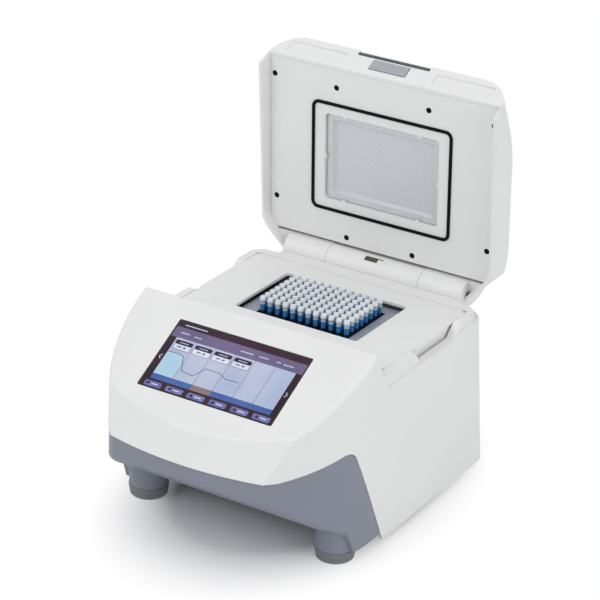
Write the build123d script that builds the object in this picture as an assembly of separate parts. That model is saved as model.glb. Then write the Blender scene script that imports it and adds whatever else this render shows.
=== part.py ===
from build123d import *
import math
import os

os.makedirs("parts", exist_ok=True)

# All sizes are millimetres. X runs to the right as seen from the front, Y runs
# to the back and Z up. Y is zero at the middle of the tube grid until the very
# end, where the whole instrument is moved so that Y is zero in its middle.

# Tube grid and thin-walled tubes in strips of eight.
well_pitch = 9.0
column_count = 12
row_count = 8
well_sides = 8
well_mouth_radius = 3.35
well_depth = 11.0
well_draft = 9.0
tube_clearance = 0.35
tube_height = 21.5
tube_rim_radius = 3.75
tube_rim_height = 1.6
strip_web_width = 2.2
strip_web_thick = 0.9
cap_radius = 3.45
cap_height = 3.4
cap_plug_radius = 2.3
cap_plug_depth = 2.6
tube_wall = 0.45

# Base housing.
deck_z = 184.0
wall = 3.0
base_half_width = 138.0
side_draft = 0.9
side_bow_radius = 165.0
side_turn_y = -122.0
front_arc_radius = 380.0
front_seam_y = -249.5
front_seam_z = 113.0
front_lean = 22.0
front_corner_radius = 20.0
rear_corner_radius = 18.0
rear_foot_y = 116.4
rear_lean = 6.0
housing_bottom_z = 5.0
crest_y = -116.4
crest_z = 212.6
crest_back_lean = 25.1
panel_slope = 29.3
crease_radius = 4.0
crest_radius = 1.6
ledge_front_z = 168.5
ledge_slope = 1.8
rim_half_width = 134.0
rim_rear_y = 87.5
rim_corner_radius = 16.0
rim_edge_radius = 1.2
seam_gap = 0.5
shell_step = 0.8

# Sweep of the seam between the white and the grey housing on each side.
seam_rise_y = -228.0
seam_shoulder_y = -151.2
seam_shoulder_z = 126.7
seam_shoulder_radius = 17.0
seam_leg_lean = 24.4

# Grey lower housing.
band_bottom_z = 97.0
band_edge_radius = 7.0
belly_mid_y = -190.0
belly_mid_z = 54.0
belly_foot_y = -122.0
cheek_inner_x = 112.0
cheek_front_lean = 23.5
cheek_front_y = -146.0
cheek_radius = 6.0
pan_z = 13.2
pan_wall = 3.0
pan_clearance = 0.6
pillar_radius = 20.0
vent_count = 9
vent_rows = 2
vent_length = 13.0
vent_width = 2.6
vent_pitch = 18.0
vent_row_pitch = 11.0

# Feet.
front_foot_x = 110.8
front_foot_y = -140.9
rear_foot_x = 112.5
rear_foot_centre_y = 86.0
pad_radius = 20.6
pad_floor_radius = 19.0
pad_height = 11.9
pad_neck_radius = 18.0
foot_screw_head_radius = 4.0
foot_screw_radius = 2.0
foot_screw_sink = 6.0

# Hinge.
hinge_y = 111.2
hinge_z = 184.3
barrel_radius = 15.2
barrel_half_length = 55.4
knuckle_outer_x = 107.0
hinge_gap = 0.4
web_height = 34.0
hinge_pin_radius = 4.0
hinge_pin_clearance = 0.06
trough_clearance = 0.5
lid_open_angle = 87.57

# Block module that lifts out of the base.
module_half_width = 125.0
module_front_y = -88.0
module_rear_y = 76.0
module_corner_radius = 7.0
module_gap = 0.5
module_plate_thick = 3.0
notch_front_y = -31.0
notch_rear_y = 35.0
notch_floor_z = 170.2
notch_front_run = 9.0
notch_rear_run = 14.0
grip_lip = 1.4
tray_thick = 2.4
recess_half_x = 71.8
recess_half_y = 49.5
recess_corner_radius = 3.0
frame_top_z = 176.6
frame_thick = 3.0
block_top_z = 175.5
block_half_x = 58.2
block_half_y = 40.2
block_height = 15.0
block_seal_width = 2.4
cooler_gap = 0.35
cooler_thick = 3.8
cooler_size = 36.0
sink_base_thick = 9.0
sink_half_x = 62.0
sink_half_y = 52.0
fin_height = 46.0
fin_count = 21
fin_thick = 1.6
module_lift = 130.0

# Lid, drawn closed and turned open at the end.
lid_face_gap = 1.8
lid_wall = 3.0
lid_front_gap = 1.9
lid_lip_height = 26.2
lid_top_z = 250.0
lid_top_bend_radius = 120.0
lid_rear_bend_radius = 55.0
lid_side_radius = 34.0
lid_skirt_half_width = 140.0
lid_side_lean = 9.0
lid_skirt_inner = 135.2
lid_skirt_gap = 0.6
lid_corner_y = 84.0
lid_corner_end_y = 116.2
lid_corner_radius = 40.0
cover_thick = 2.6
cover_gap = 0.35
window_half_x = 67.5
window_front_reach = 160.2
window_rear_reach = 64.3
window_corner_radius = 5.0
seal_half_x = 82.5
seal_front_reach = 173.2
seal_rear_reach = 52.1
seal_corner_radius = 8.0
seal_width = 3.0
seal_proud = 1.4
seal_sunk = 1.2
plug_radius = 3.0
plug_sunk = 1.6
plug_spots = [(128.6, 190.4), (54.1, 190.4), (125.9, 53.3), (39.5, 25.8)]

# Heated plate in the lid window.
plate_gap = 1.0
plate_rim_depth = 4.0
plate_rim_width = 6.0
plate_face_depth = 8.0
plate_thick = 1.6
plate_draft = 30.0
plate_travel = 1.5
heater_thick = 1.2

# Lid front face.
pocket_inner_x = 52.0
pocket_outer_x = 119.0
pocket_low = 7.0
pocket_high = 21.0
pocket_depth = 1.2
latch_half_width = 21.0
latch_gap = 0.6
latch_proud = 0.9
latch_depth = 7.0
latch_travel = 2.4
grip_half_width = 42.0
grip_low = 22.5

# Screen on the sloping panel.
screen_half_width = 76.7
screen_length = 83.5
screen_from_crest = 24.0
screen_thick = 1.8
screen_gap = 0.35
screen_seat = 2.2
display_thick = 5.0

# Rear panel and what it carries.
panel_half_width = 104.0
panel_low = 18.0
panel_high = 148.0
panel_thick = 1.5
panel_gap = 0.5
fan_size = 92.0
fan_depth = 25.0
fan_centre_up = 96.0
fan_centre_x = 0.0
fan_blades = 7
fan_hub_radius = 19.0
fan_tip_gap = 1.2
grille_bar = 2.4
grille_rings = 5
inlet_x = -78.0
inlet_up = 48.0
inlet_width = 27.0
inlet_height = 20.0
switch_up = 78.0
port_x = 76.0
port_depth = 14.0
seat_out = -1.2
inlet_depth = 24.0
drawer_height = 8.0
inlet_cavity = 17.0
drawer_depth = 21.0
drawer_travel = 20.0
switch_depth = 18.0
switch_swing = 12.0
fan_shaft_radius = 2.5
fan_shaft_clearance = 0.06
fan_blade_pitch = 38.0

hinge_axis = Axis((0, hinge_y, hinge_z), (1, 0, 0))
grid_half_x = well_pitch * (column_count - 1) / 2
grid_half_y = well_pitch * (row_count - 1) / 2
lid_face_z = deck_z + lid_face_gap
far = 400.0
nodes = {}


def tangent(angle):
    """Tangent of an angle in degrees."""
    return math.tan(math.radians(angle))


def both(shape):
    """The shape and its mirror image on the other side of the middle plane."""
    return [shape, mirror(shape, about=Plane.YZ)]


def side_prism(points, half_length, centre_x=0.0):
    """A prism along X with the given outline in Y and Z."""
    outline = make_face(Polyline(*[(y, z) for y, z in points], close=True))
    return Pos(centre_x, 0, 0) * extrude(Plane.YZ * outline, amount=half_length, both=True)


def side_form(outline, half_length, centre_x=0.0):
    """A prism along X from a face drawn with Y across and Z up."""
    return Pos(centre_x, 0, 0) * extrude(Plane.YZ * outline, amount=half_length, both=True)


def block(x_range, y_range, z_range):
    """A box between two corners."""
    size = [high - low for low, high in (x_range, y_range, z_range)]
    middle = [(high + low) / 2 for low, high in (x_range, y_range, z_range)]
    return Pos(*middle) * Box(*size)


def x_rod(radius, x_low, x_high, y, z):
    """A round bar along X."""
    rod = Rot(0, 90, 0) * Cylinder(radius, x_high - x_low)
    return Pos((x_low + x_high) / 2, y, z) * rod


def rear_y(z):
    """Outer face of the leaning rear wall at a height."""
    return rear_foot_y - z * tangent(rear_lean)


def ledge_z(y):
    """Height of the outer wall's top edge, on which the lid skirt closes."""
    return ledge_front_z + (y - crest_y) * tangent(ledge_slope)


def crest_back_y(z):
    """Rear face of the crest in front of the deck."""
    return crest_y + (crest_z - z) * tangent(crest_back_lean)


def base_plan(inset):
    """Plan of the base: straight sides that bow in towards the front."""
    half = base_half_width - inset
    centre_x = base_half_width - side_bow_radius
    bow = Circle(side_bow_radius - inset)
    nose = (Pos(centre_x, side_turn_y) * bow) & (Pos(-centre_x, side_turn_y) * bow)
    nose = nose & (Pos(0, side_turn_y - far / 2) * Rectangle(far, far))
    tail_y = rear_foot_y + wall * 4
    tail = Pos(0, (side_turn_y + tail_y) / 2) * Rectangle(2 * half, tail_y - side_turn_y)
    return nose + tail


def base_block(inset):
    """The base with its leaning front and rear walls, before the top is cut."""
    body = extrude(base_plan(inset), amount=crest_z + wall * 2, taper=side_draft)
    lean = math.radians(front_lean)
    front = Plane(
        origin=(0, front_seam_y, front_seam_z),
        x_dir=(1, 0, 0),
        z_dir=(0, math.sin(lean), math.cos(lean)),
    )
    disc = Pos(0, front_arc_radius) * Circle(front_arc_radius - inset)
    body = body & extrude(front * disc, amount=far, both=True)
    top = crest_z + wall * 4
    rear = [(-far, -wall), (-far, top), (rear_y(top) - inset, top), (rear_y(-wall) - inset, -wall)]
    body = body & side_prism(rear, far)
    upright = [edge for edge in body.edges() if abs((edge % 0.5).Z) > 0.8]
    front_edges = [edge for edge in upright if edge.center().Y < side_turn_y]
    rear_edges = [edge for edge in upright if edge.center().Y > 0]
    body = fillet(front_edges, front_corner_radius - inset)
    rear_edges = [
        edge for edge in body.edges() if abs((edge % 0.5).Z) > 0.8 and edge.center().Y > rear_y(crest_z) - wall * 3
    ]
    return fillet(rear_edges, rear_corner_radius - inset)


def top_profile(inset):
    """Side view of the base's top: sloping panel, crest and lid ledge."""
    panel_foot_z = crest_z - (far + crest_y) * tangent(panel_slope)
    ledge_y = crest_back_y(ledge_front_z)
    points = [
        (-far, -far),
        (-far, panel_foot_z),
        (crest_y, crest_z),
        (ledge_y, ledge_z(ledge_y)),
        (far, ledge_z(far)),
        (far, -far),
    ]
    outline = make_face(Polyline(*points, close=True))
    return side_form(offset(outline, amount=-inset) if inset else outline, far)


def rim(inset):
    """Raised deck rim inside the lid skirts, with a tongue to the hinge."""
    half = rim_half_width - inset
    front = crest_y
    rear = rim_rear_y - inset
    plan = Pos(0, (front + rear) / 2) * Rectangle(2 * half, rear - front)
    rear_corners = plan.vertices().group_by(Axis.Y)[-1]
    plan = fillet(rear_corners, rim_corner_radius - inset)
    tongue_rear = rear_y(deck_z)
    tongue_half = knuckle_outer_x + hinge_gap - inset
    plan = plan + Pos(0, (front + tongue_rear) / 2) * Rectangle(2 * tongue_half, tongue_rear - front)
    low = ledge_front_z - wall * 3
    body = extrude(Pos(0, 0, low) * plan, amount=deck_z - inset - low)
    keep = [
        (crest_back_y(deck_z + wall) - far + inset, deck_z + wall * 2),
        (crest_back_y(low) - far + inset, low - wall),
        (far, low - wall),
        (far, deck_z + wall * 2),
    ]
    return body & side_prism(keep, far)


def notch(inset):
    """Finger clearance beside the module, as one prism on each side."""
    floor_z = notch_floor_z - inset
    top_z = deck_z + wall
    rise = (top_z - notch_floor_z) / (deck_z - notch_floor_z)
    points = [
        (notch_front_y - inset - notch_front_run * rise, top_z),
        (notch_front_y - inset, floor_z),
        (notch_rear_y + inset, floor_z),
        (notch_rear_y + inset + notch_rear_run * rise, top_z),
    ]
    outline = make_face(Polyline(*points, close=True))
    low_corners = outline.vertices().group_by(Axis.Y)[0]
    outline = fillet(low_corners, 4.0 + inset)
    width = base_half_width - module_half_width + inset
    right = side_form(outline, width / 2 + wall, module_half_width + width / 2 + wall - module_gap - inset)
    return Compound(both(right))


def base_form(inset):
    """Outer surface of the whole white and grey base, or a smaller copy."""
    body = base_block(inset) & top_profile(inset)
    if not inset:
        seam_z = front_seam_z + wall * 6
        crease = [
            edge
            for edge in body.edges()
            if edge.center().Z > seam_z
            and edge.bounding_box().max.Y < crest_y + wall
            and abs(edge.center().Y - crest_y) > wall
        ]
        body = fillet(crease, crease_radius)
    body = body + rim(inset)
    body = body - notch(inset)
    trough = x_rod(barrel_radius + trough_clearance + inset, -far, far, hinge_y, hinge_z)
    return body - trough


def seam_outline(gap):
    """Side view of all that lies below the seam between the two housings."""
    seam_z = front_seam_z - gap
    shoulder_z = seam_shoulder_z - gap
    leg_end_y = seam_shoulder_y + (shoulder_z + far) * tangent(seam_leg_lean)
    points = [
        (-far, -far),
        (-far, seam_z),
        (seam_rise_y, seam_z),
        (seam_shoulder_y - gap, shoulder_z),
        (leg_end_y - gap, -far),
    ]
    outline = make_face(Polyline(*points, close=True))
    shoulder = outline.vertices().sort_by_distance((seam_shoulder_y, shoulder_z, 0))[0]
    return fillet(shoulder, seam_shoulder_radius)


def rear_plane():
    """Drawing plane on the rear wall, seen from behind, starting at the floor."""
    lean = math.radians(rear_lean)
    return Plane(
        origin=(0, rear_foot_y, 0),
        x_dir=(-1, 0, 0),
        z_dir=(0, math.cos(lean), math.sin(lean)),
    )


def panel_plane():
    """Drawing plane on the sloping front panel, starting at the crest."""
    slope = math.radians(panel_slope)
    return Plane(
        origin=(0, crest_y, crest_z),
        x_dir=(1, 0, 0),
        z_dir=(0, -math.sin(slope), math.cos(slope)),
    )


def screen_box(margin, depth_low, depth_high):
    """A flat rounded box on the screen's place, between two depths."""
    centre = -(screen_from_crest + screen_length / 2)
    outline = Pos(0, centre) * RectangleRounded(
        2 * (screen_half_width + margin), screen_length + 2 * margin, 1.5 + max(margin, 0)
    )
    return extrude(panel_plane() * Pos(0, 0, -depth_high) * outline, amount=depth_high - depth_low)


def hinge_bracket():
    """The base's middle barrel and the web that carries it on the rear wall."""
    rear_angle = math.radians(35)
    web_low = hinge_z - web_height
    web = [
        (hinge_y - barrel_radius - wall, hinge_z - barrel_radius / 2),
        (hinge_y - barrel_radius - wall, web_low),
        (rear_y(web_low) - wall / 2, web_low),
        (hinge_y + barrel_radius * math.cos(rear_angle), hinge_z - barrel_radius * math.sin(rear_angle)),
        (hinge_y, hinge_z),
    ]
    barrel = x_rod(barrel_radius, -barrel_half_length, barrel_half_length, hinge_y, hinge_z)
    return barrel + side_prism(web, barrel_half_length)


def upper_housing():
    """White housing: panel, crest, deck rim and side walls."""
    body = base_form(0) - base_form(wall)
    low = [
        (-far, -far),
        (-far, housing_bottom_z),
        (seam_shoulder_y, housing_bottom_z),
        (rear_foot_y, housing_bottom_z + wall),
        (far, housing_bottom_z + wall),
        (far, -far),
    ]
    body = body - side_form(seam_outline(0), far) - side_prism(low, far)
    body = body + hinge_bracket()
    pin = x_rod(hinge_pin_radius + hinge_pin_clearance, -far, far, hinge_y, hinge_z)
    body = body - pin
    body = body - block(
        (-module_half_width - module_gap, module_half_width + module_gap),
        (module_front_y - module_gap, module_rear_y + module_gap),
        (notch_floor_z - wall * 3, deck_z + wall),
    )
    body = body - screen_box(screen_gap, -wall, screen_seat)
    body = body - screen_box(-4.0, 0, wall * 4)
    opening = Pos(0, (panel_low + panel_high) / 2) * RectangleRounded(
        2 * (panel_half_width + panel_gap), panel_high - panel_low + 2 * panel_gap, 6
    )
    body = body - extrude(rear_plane() * opening, amount=wall * 2, both=True)
    nodes["upper_housing"] = body


def lower_plan(inset):
    """Plan of the grey housing under the seam."""
    half = base_half_width - inset
    centre_x = base_half_width - side_bow_radius
    bow = Circle(side_bow_radius - inset)
    nose = (Pos(centre_x, side_turn_y) * bow) & (Pos(-centre_x, side_turn_y) * bow)
    nose = nose & (Pos(0, side_turn_y - far / 2) * Rectangle(far, far))
    nose = nose & (Pos(0, front_seam_y + front_arc_radius) * Circle(front_arc_radius - inset))
    corners = [v for v in nose.vertices() if v.Y < side_turn_y - wall and abs(v.X) > wall]
    nose = fillet(corners, front_corner_radius - inset)
    tail_y = hinge_y
    tail = Pos(0, (side_turn_y + tail_y) / 2) * Rectangle(2 * half, tail_y - side_turn_y)
    return nose + tail


def belly_profile(inset):
    """Side view of the space under the grey housing's sloping belly."""
    foot_z = pan_z
    points = [
        (-far, -far),
        (-far, band_bottom_z),
        (front_seam_y + shell_step + inset, band_bottom_z + inset),
        (belly_mid_y, belly_mid_z + inset),
        (belly_foot_y, foot_z + inset),
        (far, foot_z + inset),
        (far, -far),
    ]
    outline = make_face(Polyline(*points, close=True))
    return outline


def cheek_form(inset):
    """Side legs of the grey housing, between the belly and the white seam."""
    foot_z = pan_z
    rise = front_seam_z - foot_z
    points = [
        (cheek_front_y + inset - rise * tangent(cheek_front_lean), front_seam_z),
        (cheek_front_y + inset, foot_z + inset),
        (seam_shoulder_y + (seam_shoulder_z - foot_z) * tangent(seam_leg_lean), foot_z + inset),
        (0, front_seam_z),
    ]
    outline = make_face(Polyline(*points, close=True))
    outer = base_half_width
    inner = cheek_inner_x + inset
    leg = side_form(outline, (outer - inner) / 2, (outer + inner) / 2)
    if not inset:
        front = [edge for edge in leg.edges().filter_by(Axis.X, tolerance=90) if abs(edge.center().X - inner) < 1e-3]
        front = [edge for edge in front if edge.center().Y < cheek_front_y and edge.center().Z > foot_z + wall]
        front = [edge for edge in front if edge.center().Z < front_seam_z - wall]
        leg = fillet(front, cheek_radius)
    return leg


def lower_form(inset):
    """Solid of the grey housing, or a smaller copy for its inside."""
    plan = lower_plan(shell_step + inset)
    block_form = extrude(plan, amount=seam_shoulder_z + wall, taper=side_draft)
    band = block_form - side_form(belly_profile(inset), far)
    if not inset:
        edges = [
            edge
            for edge in band.edges()
            if edge.center().Y < side_turn_y and abs(edge.center().Z - band_bottom_z) < wall
        ]
        band = fillet(edges, band_edge_radius)
    for leg in both(cheek_form(inset)):
        band = band + (leg & block_form)
    return band


def front_pillars(inset):
    """Round pillars under the belly that carry the front feet."""
    top = belly_mid_z
    low = pad_height + seam_gap
    pillar = Pos(front_foot_x, front_foot_y, (top + low) / 2) * Cylinder(pillar_radius - inset, top - low)
    return both(pillar)


def lower_housing():
    """Grey housing: front band, belly, cheeks, pillars and floor pan."""
    body = lower_form(0) - lower_form(wall)
    for pillar, core in zip(front_pillars(0), front_pillars(wall)):
        clipped = pillar & extrude(lower_plan(shell_step), amount=far)
        body = body + (clipped - Pos(0, 0, wall) * core)
    rear_limit = rear_y(pan_z) - wall - pan_clearance
    side_limit = base_half_width - wall - pan_clearance - pan_z * tangent(side_draft) - shell_step
    body = body & side_form(seam_outline(seam_gap), far)
    pan_front = belly_foot_y
    pan = block((-side_limit, side_limit), (pan_front, rear_limit), (pan_z, pan_z + pan_wall))
    pan = pan & base_block(wall + pan_clearance)
    body = body + pan
    for x in (-rear_foot_x, rear_foot_x):
        boss = Pos(x, rear_foot_centre_y, (pad_height + seam_gap + pan_z) / 2 + 0.5)
        body = body + boss * Cylinder(pad_neck_radius, pan_z - pad_height - seam_gap + 1)
    for x in (-front_foot_x, front_foot_x):
        body = body - Pos(x, front_foot_y, pad_height) * Cylinder(foot_screw_radius + 0.05, wall * 8)
    for x in (-rear_foot_x, rear_foot_x):
        body = body - Pos(x, rear_foot_centre_y, pan_z) * Cylinder(foot_screw_radius + 0.05, wall * 8)
    for row in range(vent_rows):
        for column in range(vent_count):
            x = (column - (vent_count - 1) / 2) * vent_pitch
            y = belly_mid_y + (row - 0.5) * vent_row_pitch - 18
            slot = Pos(x, y, belly_mid_z + 12) * extrude(SlotOverall(vent_length, vent_width), 60, both=True)
            body = body - slot
    nodes["lower_housing"] = body


def feet():
    """Round pads under the pillars and under the rear of the floor pan."""
    places = [(front_foot_x, front_foot_y), (rear_foot_x, rear_foot_centre_y)]
    profile = Polyline(
        (0, 0),
        (pad_floor_radius - 1, 0),
        (pad_floor_radius, 1),
        (pad_radius, pad_height - 1.2),
        (pad_radius - 0.8, pad_height),
        (0, pad_height),
        close=True,
    )
    pad = revolve(Plane.XZ * make_face(profile), axis=Axis.Z)
    well = Pos(0, 0, foot_screw_sink / 2) * Cylinder(foot_screw_head_radius + 0.6, foot_screw_sink)
    pad = pad - well - Cylinder(foot_screw_radius + 0.05, far)
    screw_top = pan_z + pan_wall + wall
    shaft_length = screw_top - foot_screw_sink
    head = Pos(0, 0, foot_screw_sink - 1.5) * Cylinder(foot_screw_head_radius, 2.4)
    screw = head + Pos(0, 0, foot_screw_sink + shaft_length / 2 - 1) * Cylinder(foot_screw_radius, shaft_length)
    pads = []
    screws = []
    for x, y in places:
        for side in (-1, 1):
            pads.append(Pos(side * x, y, 0) * pad)
            screws.append(Pos(side * x, y, 0) * screw)
    nodes["foot_pads"] = pads
    nodes["foot_screws"] = screws


def screen():
    """Touch screen glass, its display and the circuit board behind it."""
    glass = screen_box(0, screen_seat - screen_thick, screen_seat)
    nodes["display_glass"] = glass
    back = wall + 0.3
    nodes["display_module"] = screen_box(-5.0, screen_seat + 0.3, screen_seat + 0.3 + display_thick)
    board = screen_box(2.0, back + display_thick + 6, back + display_thick + 7.6)
    nodes["control_board"] = board
    posts = []
    plane = panel_plane()
    for x in (-1, 1):
        for up in (-1, 1):
            centre = -(screen_from_crest + screen_length / 2)
            place = Pos(x * (screen_half_width - 1), centre + up * (screen_length / 2 - 3), -wall - 0.3)
            post = plane * (place * (Pos(0, 0, -(display_thick + 5.4) / 2) * Cylinder(2.6, display_thick + 5.4)))
            posts.append(post)
    nodes["board_posts"] = posts


def module_flange_z():
    """Underside of the tray on which the module rests."""
    return block_top_z - block_height - 2 * cooler_gap - cooler_thick


def module_plan(inset):
    """Plan of the lift-out block module."""
    middle = (module_front_y + module_rear_y) / 2
    length = module_rear_y - module_front_y
    return Pos(0, middle) * RectangleRounded(
        2 * (module_half_width - inset), length - 2 * inset, module_corner_radius - inset
    )


def module():
    """Deck plate, frame, sample block, coolers and heat sink of the module."""
    deck = extrude(Pos(0, 0, deck_z - module_plate_thick) * module_plan(0), amount=module_plate_thick)
    deck_edges = [edge for edge in deck.edges() if abs(edge.center().Z - deck_z) < 1e-3]
    deck = fillet(deck_edges, 0.8)
    grip_length = notch_rear_y - notch_front_y
    grip_middle = (notch_rear_y + notch_front_y) / 2
    wall_low = module_flange_z() + tray_thick + 0.3
    ring = extrude(Pos(0, 0, wall_low) * (module_plan(1.6) - module_plan(1.6 + wall)), amount=deck_z - wall_low - 1)
    deck = deck + ring
    recess = Pos(0, 0, deck_z) * extrude(
        RectangleRounded(2 * recess_half_x, 2 * recess_half_y, recess_corner_radius), wall * 3, both=True
    )
    deck = deck - recess
    for side in (-1, 1):
        lip = Pos(side * (module_half_width + grip_lip / 2 - 0.5), grip_middle, deck_z - 2.2)
        deck = deck + lip * Box(grip_lip + 1, grip_length - 4, 3.6)
        scoop = Pos(side * (module_half_width + 8.6), grip_middle, deck_z - 13.0)
        deck = deck - scoop * (Rot(90, 0, 0) * Cylinder(10.4, grip_length - 8))
    nodes["module_deck"] = deck

    frame_half_x = recess_half_x - 0.3
    frame_half_y = recess_half_y - 0.3
    frame_low = frame_top_z - frame_thick
    frame = Pos(0, 0, frame_low) * extrude(RectangleRounded(2 * frame_half_x, 2 * frame_half_y, 2.6), frame_thick)
    hole_x = block_half_x + block_seal_width + 0.3
    hole_y = block_half_y + block_seal_width + 0.3
    frame = frame - Pos(0, 0, frame_low) * Box(2 * hole_x, 2 * hole_y, 4 * frame_thick)
    for x in (-1, 1):
        for y in (-1, 1):
            place = Pos(x * (block_half_x + 8), y * (block_half_y + 5.6), frame_top_z)
            frame = frame - place * Cylinder(1.5, 20) - place * Cylinder(2.7, 1.4)
    groove = Rectangle(2 * hole_x + 11, 2 * hole_y + 8) - Rectangle(2 * hole_x + 9.4, 2 * hole_y + 6.4)
    frame = frame - Pos(0, 0, frame_top_z - 0.7) * extrude(groove, 2)
    nodes["block_frame"] = frame
    seal = Rectangle(2 * hole_x - 0.6, 2 * hole_y - 0.6) - Rectangle(2 * block_half_x + 0.6, 2 * block_half_y + 0.6)
    nodes["block_gasket"] = Pos(0, 0, frame_low) * extrude(seal, frame_thick - 0.4)
    sample_block()

    cooler_top = block_top_z - block_height - cooler_gap
    coolers = []
    for column in (-1, 0, 1):
        for row in (-0.5, 0.5):
            place = Pos(column * (cooler_size + 1.5), row * (cooler_size + 1.5), cooler_top - cooler_thick / 2)
            coolers.append(place * Box(cooler_size, cooler_size, cooler_thick))
    nodes["peltier_coolers"] = coolers
    sink_top = cooler_top - cooler_thick - cooler_gap
    base = Pos(0, 0, sink_top - sink_base_thick / 2) * Box(2 * sink_half_x, 2 * sink_half_y, sink_base_thick)
    fin_pitch = (2 * sink_half_x - fin_thick) / (fin_count - 1)
    fin_low = sink_top - sink_base_thick - fin_height
    for index in range(fin_count):
        x = -sink_half_x + fin_thick / 2 + index * fin_pitch
        fin = Pos(x, 0, (fin_low + sink_top - sink_base_thick + 1) / 2)
        base = base + fin * Box(fin_thick, 2 * sink_half_y, fin_height + 1)
    nodes["heat_sink"] = base
    outer = RectangleRounded(2 * sink_half_x + 14, 2 * sink_half_y + 12, 4)
    hollow = Rectangle(2 * sink_half_x + 1, 2 * sink_half_y + 1)
    shroud = Pos(0, 0, sink_top - sink_base_thick) * extrude(outer - hollow, sink_base_thick)
    flange = Pos(0, 0, sink_top) * extrude(module_plan(1.6) - hollow, 2.4)
    tray = flange + shroud
    nodes["module_tray"] = tray
    screws = []
    for x in (-1, 1):
        for y in (-1, 1):
            place = Pos(x * (block_half_x + 8), y * (block_half_y + 5.6), frame_top_z)
            screw = place * (Cylinder(2.6, 1.2) + Pos(0, 0, -5) * Cylinder(1.4, 9))
            screws.append(screw)
    nodes["frame_screws"] = screws


def tapered_well(mouth_radius, depth, draft):
    """An eight-sided pocket or tube body that narrows downwards."""
    mouth = RegularPolygon(mouth_radius, well_sides, rotation=180 / well_sides)
    return extrude(mouth, amount=-depth, taper=draft)


def grid_places():
    """Centres of the wells, column by column."""
    columns = []
    for column in range(column_count):
        x = column * well_pitch - grid_half_x
        columns.append([(x, row * well_pitch - grid_half_y) for row in range(row_count)])
    return columns


def sample_block():
    """Aluminium block with its grid of tapered wells."""
    block_low = block_top_z - block_height
    body = Pos(0, 0, block_low + block_height / 2) * Box(2 * block_half_x, 2 * block_half_y, block_height)
    well = tapered_well(well_mouth_radius, well_depth, well_draft)
    wells = [Pos(x, y, block_top_z) * well for column in grid_places() for x, y in column]
    nodes["sample_block"] = body - wells


def tubes():
    """Strips of eight tubes with tapered bodies, and their linked caps."""
    rim_z = deck_z + 9.5 - cap_height
    low_z = rim_z - tube_height
    sink = block_top_z - well_depth
    cone_top = block_top_z + 3.0
    strips = []
    caps = []
    for column in grid_places():
        strip = None
        cap_strip = None
        for x, y in column:
            outline = RegularPolygon(well_mouth_radius - tube_clearance, well_sides, rotation=180 / well_sides)
            upper = Pos(x, y, block_top_z) * extrude(outline, rim_z - block_top_z)
            cone_depth = well_depth - 1.0
            cone = Pos(x, y, block_top_z) * extrude(outline, amount=-cone_depth, taper=well_draft)
            collar = Pos(x, y, rim_z - tube_rim_height) * extrude(
                RegularPolygon(tube_rim_radius, well_sides, rotation=180 / well_sides), tube_rim_height
            )
            tube = upper + cone + collar
            strip = tube if strip is None else strip + tube
            lid = Pos(x, y, rim_z + 0.1) * extrude(
                RegularPolygon(cap_radius, well_sides, rotation=180 / well_sides), cap_height - 0.1
            )
            cap_strip = lid if cap_strip is None else cap_strip + lid
        x = column[0][0]
        length = 2 * grid_half_y
        strip = strip + Pos(x, 0, rim_z - strip_web_thick / 2) * Box(strip_web_width, length, strip_web_thick)
        cap_strip = cap_strip + Pos(x, 0, rim_z + 0.1 + strip_web_thick / 2) * Box(
            strip_web_width, length, strip_web_thick
        )
        strips.append(strip)
        caps.append(cap_strip)
    nodes["tube_strips"] = strips
    nodes["tube_caps"] = caps


def lid_profile(inset):
    """Side view of the closed lid: front face, sloping top and rear wall."""
    lip_run = lid_lip_height * tangent(crest_back_lean)
    lip_y = crest_back_y(lid_face_z) + lid_front_gap
    low_z = ledge_front_z - wall * 3
    low_y = lip_y + (lid_face_z - low_z) * tangent(crest_back_lean)
    high_y = lip_y - lip_run
    high_z = lid_face_z + lid_lip_height
    bend_y = high_y + (lid_top_z - high_z) / tangent(panel_slope)
    rear = hinge_y + barrel_radius
    points = [(low_y, low_z), (high_y, high_z), (bend_y, lid_top_z), (rear, lid_top_z), (rear, low_z)]
    outline = make_face(Polyline(*points, close=True))
    if inset:
        outline = offset(outline, amount=-inset, kind=Kind.INTERSECTION)
    top = outline.vertices().group_by(Axis.Y)[-1].sort_by(Axis.X)
    outline = fillet(top[0], lid_top_bend_radius - inset)
    rear_top = outline.vertices().sort_by_distance((rear, lid_top_z, 0))[0]
    return fillet(rear_top, lid_rear_bend_radius - inset)


def lid_plan(margin):
    """Plan of the lid, with its cut-off rear corners."""
    half = lid_skirt_half_width - margin
    rear = hinge_y + barrel_radius + wall
    slant = margin * (math.sqrt(2) - 1)
    points = [
        (-half, -far),
        (-half, lid_corner_y - slant),
        (-knuckle_outer_x + slant, lid_corner_end_y + (lid_skirt_half_width - knuckle_outer_x) * 0 - slant),
        (-knuckle_outer_x + slant, rear),
        (knuckle_outer_x - slant, rear),
        (knuckle_outer_x - slant, lid_corner_end_y - slant),
        (half, lid_corner_y - slant),
        (half, -far),
    ]
    outline = make_face(Polyline(*points, close=True))
    corners = [v for v in outline.vertices() if abs(v.Y - lid_corner_y + slant) < 1e-3]
    return fillet(corners, lid_corner_radius - margin)


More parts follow.
